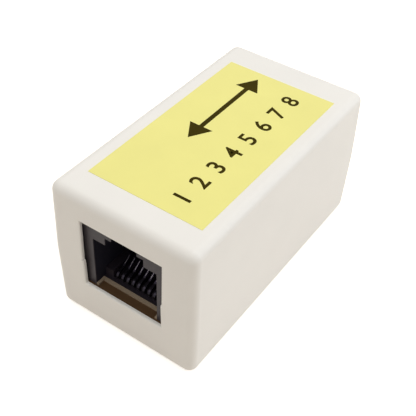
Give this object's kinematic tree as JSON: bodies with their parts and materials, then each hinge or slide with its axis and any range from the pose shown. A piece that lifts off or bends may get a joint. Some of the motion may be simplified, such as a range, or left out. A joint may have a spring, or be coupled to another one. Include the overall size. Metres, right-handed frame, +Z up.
{
  "type": "rj45 inline coupler",
  "caption": "Box-shaped in-line coupler joining two 8-way modular plugs, with a keyed port in each end, a two-part ivory shell and a yellow label on the roof.",
  "frame": {"origin": "middle of the flat base that the coupler rests on", "axes": "+Y along the plug direction with the front port at -Y, +X to the right of the front port, +Z up through the label"},
  "size_m": [0.0264, 0.0492, 0.0255],
  "materials": {
    "ivory_plastic": "satin moulded, ivory",
    "yellow_label": "smooth printed paper, pale yellow",
    "brown_board": "brown circuit laminate",
    "black_plastic": "black moulded housing",
    "dark_insert": "black moulded insert",
    "tan_laminate": "tan laminate strip",
    "pale_contact": "pale plated contact strip",
    "brown_ink": "dark brown print"
  },
  "bodies": {
    "root": {"upper_shell": "ivory_plastic", "lower_shell": "ivory_plastic", "label": "yellow_label", "circuit_board": "brown_board", "jack_housing_front": "black_plastic", "port_rim_front": "tan_laminate", "contact_insert_front": "dark_insert", "contact_front_1": "pale_contact", "contact_front_2": "pale_contact", "contact_front_3": "pale_contact", "contact_front_4": "pale_contact", "contact_front_5": "pale_contact", "contact_front_6": "pale_contact", "contact_front_7": "pale_contact", "contact_front_8": "pale_contact", "jack_housing_rear": "black_plastic", "port_rim_rear": "tan_laminate", "contact_insert_rear": "dark_insert", "contact_rear_1": "pale_contact", "contact_rear_2": "pale_contact", "contact_rear_3": "pale_contact", "contact_rear_4": "pale_contact", "contact_rear_5": "pale_contact", "contact_rear_6": "pale_contact", "contact_rear_7": "pale_contact", "contact_rear_8": "pale_contact"}
  },
  "joints": []
}
